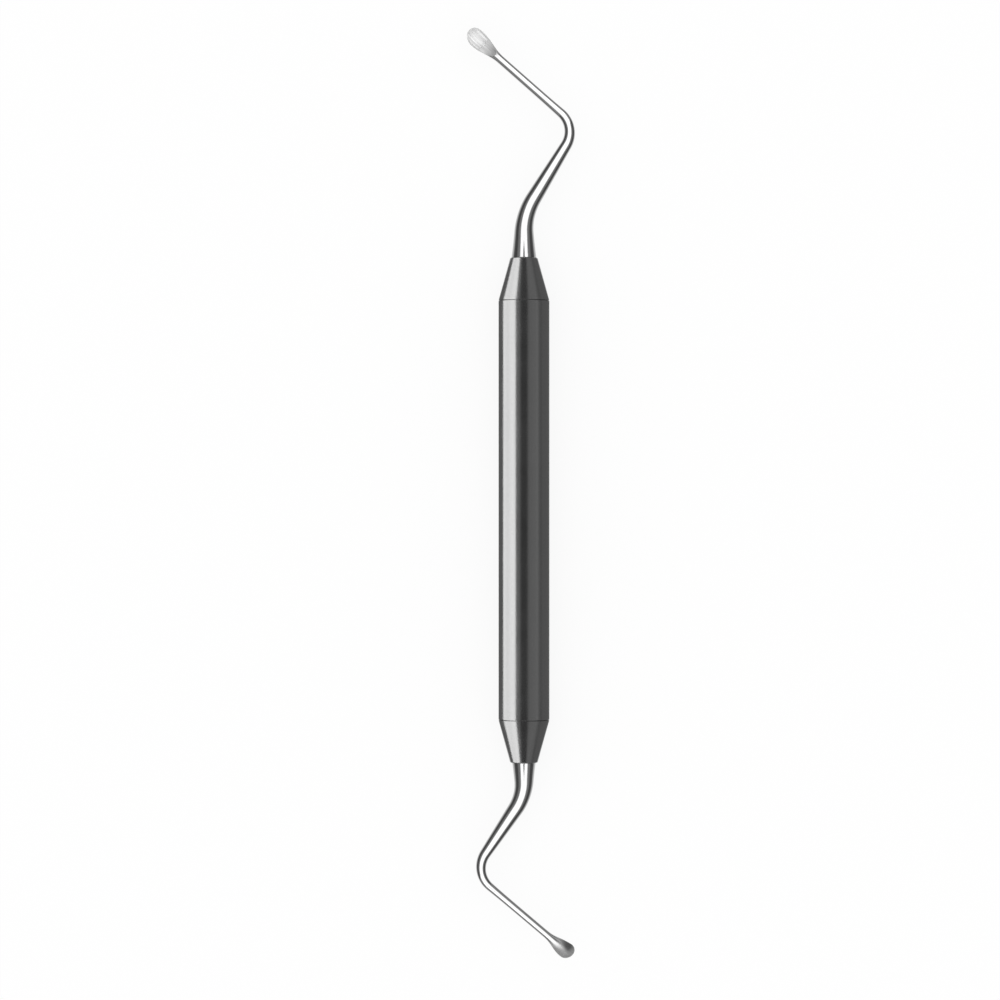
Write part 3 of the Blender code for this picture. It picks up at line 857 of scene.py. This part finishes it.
def mirror_polish(finish):
    """Mirror-polished steel with barely visible lines, turning rough and matt on the bowl's back,
    where painted shade also darkens its colour.

    One side of the back has a patch of painted shade near its widest place: darker colour that
    stands in for a dark reflection.
    """
    rough = finish.polish_roughness
    material, tree, shader = lined_steel(
        "mirror_polish", tuple(finish.polish_colour), rough, spread=0.08, across=180.0, along=2.5,
        lines=finish.scratches * 0.2, depth=finish.scratches * 0.5)
    # Where the back turns rough and matt, its colour is also darkened as painted shade
    dull_and_painted_shade = faded(tree, start=0.43, stop=0.13, slant=0.45, point=1.2)
    dim(tree, shader, dull_and_painted_shade, finish.back_shade)
    # Painted shade: a darker patch on one side of the back near its widest place
    painted_shade_patch = faded(tree, start=0.27, stop=-0.03, slant=-3.0)
    for start, stop in ((0.04, 0.15), (0.50, 0.16)):
        painted_shade_patch = number_node(tree, "MULTIPLY", painted_shade_patch, faded(tree, start, stop))
    dim(tree, shader, painted_shade_patch, finish.flank_shade)
    rough_before = shader.inputs["Roughness"].links[0].from_socket
    extra = ranged(tree, dull_and_painted_shade, 0.0, finish.back_roughness - rough)
    set_inputs(tree, shader, {"Metallic": ranged(tree, dull_and_painted_shade, 1.0, 1.0 - finish.back_matt),
                              "Roughness": number_node(tree, "ADD", rough_before, extra)})
    return material


def matt_steel(name, tint, finish, **lines):
    """Lined steel that scatters most of its light evenly."""
    material, tree, shader = lined_steel(name, tuple(tint), finish.ground_roughness,
                                         spread=0.12, **lines)
    shader.inputs["Metallic"].default_value = 1.0 - finish.ground_matt
    return material, tree, shader


def ground_face(finish):
    """The ground face: close lines from the wheel, and painted shade that makes it darker where it
    runs out.
    """
    material, tree, shader = matt_steel("ground_face", finish.face_colour, finish, across=110.0,
                                        along=9.0, lines=0.42, depth=0.8)
    # Painted shade towards the face's far end
    painted_shade_far_end = faded(tree, start=0.36, stop=0.66, slant=-0.3)
    dim(tree, shader, painted_shade_far_end, finish.neck_shade)
    return material


def brushed_cup(finish):
    """The brushed cup: even and bright, with clear streaks along the bowl."""
    return matt_steel("brushed_cup", finish.cup_colour, finish, across=170.0,
                      along=7.0, lines=0.46, depth=1.0)[0]


def carry(piece, node_name):
    """Let a piece stand for its node of the frame."""
    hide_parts(node_name)
    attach(piece, "root")


def kept_material(maker, finish):
    """A material that is built the first time that it is asked for and then shared."""
    material = bpy.data.materials.get(maker.__name__)
    if material is None:
        material = maker(finish)
        lay_out(material.node_tree)
    return material


class CURETTE_OT_handle_tube(Operator):
    """Turn the handle's hollow tube"""

    bl_idname = "curette.handle_tube"
    bl_label = "Handle Tube"

    def execute(self, context):
        scene = context.scene
        satin = kept_material(blasted_satin, scene.curette_finish)
        corners = tube_corners(scene.curette_handle)
        tube = turned_object("turned_handle_tube", corners, True, satin)
        carry(tube, "handle_tube")
        return {"FINISHED"}


class CURETTE_OT_end_cones(Operator):
    """Turn the two cones that hold the working ends"""

    bl_idname = "curette.end_cones"
    bl_label = "End Cones"

    def execute(self, context):
        scene = context.scene
        satin = kept_material(blasted_satin, scene.curette_finish)
        for name, outward in (("upper_end_cone", 1), ("lower_end_cone", -1)):
            corners = cone_corners(scene.curette_handle, outward)
            cone = turned_object("turned_" + name, corners, False, satin)
            carry(cone, name)
        return {"FINISHED"}


class CURETTE_OT_working_ends(Operator):
    """Shape the two bent shanks with their bowls"""

    bl_idname = "curette.working_ends"
    bl_label = "Working Ends"

    def execute(self, context):
        scene = context.scene
        finish = scene.curette_finish
        materials = [kept_material(mirror_polish, finish),
                     kept_material(ground_face, finish),
                     kept_material(brushed_cup, finish)]
        for name, end, outward in (("upper_working_end", scene.curette_upper_end, 1),
                                   ("lower_working_end", scene.curette_lower_end, -1)):
            shape = BowlAndShank(end, scene.curette_bowls, scene.curette_handle, outward)
            piece = working_end_object("shaped_" + name, shape, materials)
            carry(piece, name)
        return {"FINISHED"}


def grey(shade):
    """An opaque grey."""
    return (shade, shade, shade, 1.0)


def mirror_apart(tree, output, seen, mirrored):
    """End a tree with one shader in reflections and another everywhere else."""
    path = node(tree, "ShaderNodeLightPath", {})
    both = node(tree, "ShaderNodeMixShader", {0: path.outputs["Is Glossy Ray"],
                                              1: seen.outputs[0], 2: mirrored.outputs[0]})
    node(tree, output, {"Surface": both.outputs[0]})
    lay_out(tree)


def white_table(stage):
    """The table's material: nearly even white with a share of the soft shadow.

    In reflections it is dark grey, so that only the lamps light the steel from below.
    """
    material = bpy.data.materials.new("white_table")
    material.use_nodes = True
    tree = material.node_tree
    tree.nodes.clear()
    matt = node(tree, "ShaderNodeBsdfDiffuse", {"Color": (*stage.table_colour, 1.0)})
    glow = node(tree, "ShaderNodeEmission", {"Strength": 1.0})
    seen = node(tree, "ShaderNodeMixShader",
                {0: stage.shadow, 1: glow.outputs[0], 2: matt.outputs[0]})
    mirrored = node(tree, "ShaderNodeEmission", {"Color": grey(MIRRORED_TABLE)})
    mirror_apart(tree, "ShaderNodeOutputMaterial", seen, mirrored)
    return material


def add_level_face(name, outline, height, material):
    """A level face of the stage, with an outline given as x and y."""
    mesh = bpy.data.meshes.new(name)
    mesh.from_pydata([(x, y, height) for x, y in outline], [], [range(len(outline))])
    mesh.materials.append(material)
    face = add_object(name, mesh)
    return face


def add_table(stage):
    """A wide level table under the instrument."""
    outline = [(x * TABLE_HALF, y * TABLE_HALF) for x, y in ((-1, -1), (1, -1), (1, 1), (-1, 1))]
    add_level_face("table", outline, 0.0, white_table(stage))


def direction_range(tree, part, reach, levels):
    """A smooth step between two levels as one part of the direction grows to either side."""
    size = number_node(tree, "ABSOLUTE", part)
    return ranged(tree, size, *levels, *reach, "SMOOTHSTEP")


def tent_ramp(tree, height):
    """The tent's brightness by how far up a reflection looks."""
    ramp = node(tree, "ShaderNodeValToRGB", {0: height})
    elements = ramp.color_ramp.elements
    while len(elements) < len(TENT_STOPS):
        elements.new(0.5)
    for element, (place, shade) in zip(elements, TENT_STOPS):
        element.position = place
        element.color = grey(shade)
    return ramp.outputs[0]


def add_surroundings():
    """White behind the object, even light on the table, and a graded tent in reflections.

    The tent is darker in a seam straight over the handle and lighter towards its two ends.
    """
    world = bpy.data.worlds.new("light_tent")
    bpy.context.scene.world = world
    world.use_nodes = True
    tree = world.node_tree
    tree.nodes.clear()
    where = node(tree, "ShaderNodeTexCoord", {}).outputs["Generated"]
    parts = node(tree, "ShaderNodeSeparateXYZ", {0: where}).outputs
    seam = direction_range(tree, parts["X"], SEAM_REACH, SEAM_LEVELS)
    ends = direction_range(tree, parts["Y"], ENDS_REACH, (0.0, 1.0))
    shade = number_node(tree, "MAXIMUM", seam, ends)
    sides = number_node(tree, "MULTIPLY", tent_ramp(tree, parts["Z"]), shade)
    strength = number_node(tree, "MULTIPLY_ADD", ends, ENDS_GLOW, sides)
    tent = node(tree, "ShaderNodeBackground", {"Color": grey(1.0), "Strength": strength})
    white = node(tree, "ShaderNodeBackground", {"Color": grey(1.0), "Strength": 1.0})
    mirror_apart(tree, "ShaderNodeOutputWorld", white, tent)


def add_lamp(name, place, size, brightness, turn, receivers):
    """A rectangular softbox that shines only on some pieces.

    It faces straight down until it is turned about the Y axis and then about the Z axis, in
    degrees. Its brightness is what a mirror would show.
    """
    data = bpy.data.lights.new(name, "AREA")
    data.shape = "RECTANGLE"
    data.size, data.size_y = size
    data.energy = brightness * math.pi * size[0] * size[1]
    lamp = add_object(name, data)
    lamp.location = place
    lamp.rotation_euler = (0.0, math.radians(turn[0]), math.radians(turn[1]))
    lamp.visible_camera = False
    lit = bpy.data.collections.new(name + "_pieces")
    for receiver in receivers:
        lit.objects.link(bpy.data.objects[receiver])
    lamp.light_linking.receiver_collection = lit
    return data


def add_lamp_beside(name, side, place, size, brightness, azimuth, receivers):
    """A softbox that stands on one side or the other and faces back towards the middle."""
    x, y, height = place
    turn = (FACE_RIGHT[0], azimuth + 180.0 if side > 0 else azimuth)
    add_lamp(name, (side * x, side * y, height), size, brightness, turn, receivers)


def add_lamps(stage):
    """Lamps over, under and on both sides of the working ends, and round the satin steel.

    The overhead lamps of an end are squares inside one another that add up. Lamps below face
    up from just over the table, each at a height of its own, and are as if the table shone.
    """
    ends = ["shaped_upper_working_end", "shaped_lower_working_end"]
    satin = ["turned_handle_tube", "turned_upper_end_cone", "turned_lower_end_cone"]
    for name, side, end in (("upper", 1, ends[:1]), ("lower", -1, ends[1:])):
        for label, width, part, height in OVERHEAD_LAMPS:
            add_lamp(name + "_" + label + "_overhead_lamp", (0.0, side * OVERHEAD_PLACE, height),
                     (width, width), stage.overhead * part, FACE_DOWN, end)
        add_lamp_beside(name + "_corner_lamp", side, place=(0.38, 0.49, 0.60), size=(0.46, 0.40),
                        brightness=stage.corner, azimuth=52.0, receivers=end)
    for name, side in (("left", -1), ("right", 1)):
        add_lamp_beside(name + "_leg_lamp", side, place=(0.42, 0.56, 0.20), size=(0.40, 0.44),
                        brightness=stage.legs, azimuth=53.0, receivers=ends)
    under = add_lamp("under_lamp", place=(0.0, 0.0, 0.0003), size=(6.0, 6.0),
                     brightness=stage.under, turn=FACE_UP, receivers=ends)
    under.spread = math.radians(145.0)
    for name, place, size, brightness, turn in (
            ("side_lamp", (-0.50, 0.0, 0.32), (0.64, 1.9), stage.side, FACE_RIGHT),
            ("fill_lamp", (0.50, 0.0, 0.15), (0.30, 1.9), stage.fill, FACE_LEFT),
            ("side_table_lamp", (-0.262, 0.0, 0.0004), (0.476, 1.9), stage.side, FACE_UP),
            ("fill_table_lamp", (0.0, 0.0, 0.0002), (1.0, 1.9), stage.fill, FACE_UP),
            ("near_table_lamp", (0.0, 0.0, 0.0001), (0.0124, 0.106), stage.near, FACE_UP)):
        add_lamp(name, place, size, brightness, turn, satin)


def add_dark_cards():
    """Two small cards, seen only in reflections, that draw the dark wedges on the roots."""
    right = [(0.0, 0.32), (0.09, 0.36), (0.16, 0.41), (0.16, 0.50)]
    outline = right + [(-x, y) for x, y in reversed(right[1:])]
    for name, side in (("upper_card", 1), ("lower_card", -1)):
        material = bpy.data.materials.new(name)
        material.use_nodes = True
        shader = material.node_tree.nodes["Principled BSDF"]
        set_inputs(material.node_tree, shader, {"Base Color": grey(CARD_SHADE),
                                                "Specular IOR Level": 0.0})
        turned = [(side * x, side * y) for x, y in outline]
        card = add_level_face(name, turned, CARD_HEIGHT, material)
        card.visible_camera = False
        card.visible_diffuse = False


def add_camera(stage):
    """A camera with a long lens straight over the instrument."""
    data = bpy.data.cameras.new("camera")
    data.lens = stage.lens
    distance = stage.view_width * data.lens / data.sensor_width
    data.clip_start = 0.01
    data.clip_end = 20.0
    camera = add_object("camera", data)
    camera.location = (*VIEW_CENTRE, AXIS_HEIGHT + distance)
    bpy.context.scene.camera = camera


class CURETTE_OT_stage(Operator):
    """Add the table, the surroundings, the lamps and the camera"""

    bl_idname = "curette.stage"
    bl_label = "Stage"

    def execute(self, context):
        stage = context.scene.curette_stage
        bpy.context.scene.view_settings.view_transform = "Standard"
        add_table(stage)
        add_surroundings()
        add_lamps(stage)
        add_dark_cards()
        add_camera(stage)
        return {"FINISHED"}


class CURETTE_PT_panel(Panel):
    """Sizes, finish and stage of the curette"""

    bl_idname = "CURETTE_PT_panel"
    bl_label = "Bone Curette"
    bl_space_type = "VIEW_3D"
    bl_region_type = "UI"
    bl_category = "Curette"

    def draw(self, context):
        layout = self.layout
        for operator, groups in (("curette.handle_tube", ["curette_handle"]),
                                 ("curette.end_cones", []),
                                 ("curette.working_ends", ["curette_upper_end",
                                                           "curette_lower_end",
                                                           "curette_bowls", "curette_finish"]),
                                 ("curette.stage", ["curette_stage"])):
            box = layout.box()
            box.operator(operator)
            for name in groups:
                group = getattr(context.scene, name)
                column = box.column(align=True)
                for key in group.bl_rna.properties.keys():
                    if key not in {"rna_type", "name"}:
                        column.prop(group, key)


SETTINGS = (("curette_handle", CuretteHandleSizes), ("curette_upper_end", CuretteUpperEndSizes),
            ("curette_lower_end", CuretteLowerEndSizes), ("curette_bowls", CuretteBowlSizes),
            ("curette_finish", CuretteFinish), ("curette_stage", CuretteStage))
OPERATORS = (CURETTE_OT_handle_tube, CURETTE_OT_end_cones, CURETTE_OT_working_ends,
             CURETTE_OT_stage)


def register():
    """Register the settings, the operators and the panel."""
    for name, group in SETTINGS:
        bpy.utils.register_class(group)
        setattr(bpy.types.Scene, name, PointerProperty(type=group))
    for operator in OPERATORS:
        bpy.utils.register_class(operator)
    bpy.utils.register_class(CURETTE_PT_panel)


def unregister():
    """Take the panel, the operators and the settings away again."""
    bpy.utils.unregister_class(CURETTE_PT_panel)
    for operator in reversed(OPERATORS):
        bpy.utils.unregister_class(operator)
    for name, group in reversed(SETTINGS):
        delattr(bpy.types.Scene, name)
        bpy.utils.unregister_class(group)


def main():
    """Build the instrument and its stage."""
    register()
    bpy.ops.curette.handle_tube()
    bpy.ops.curette.end_cones()
    bpy.ops.curette.working_ends()
    bpy.ops.curette.stage()


if __name__ == "__main__":
    main()
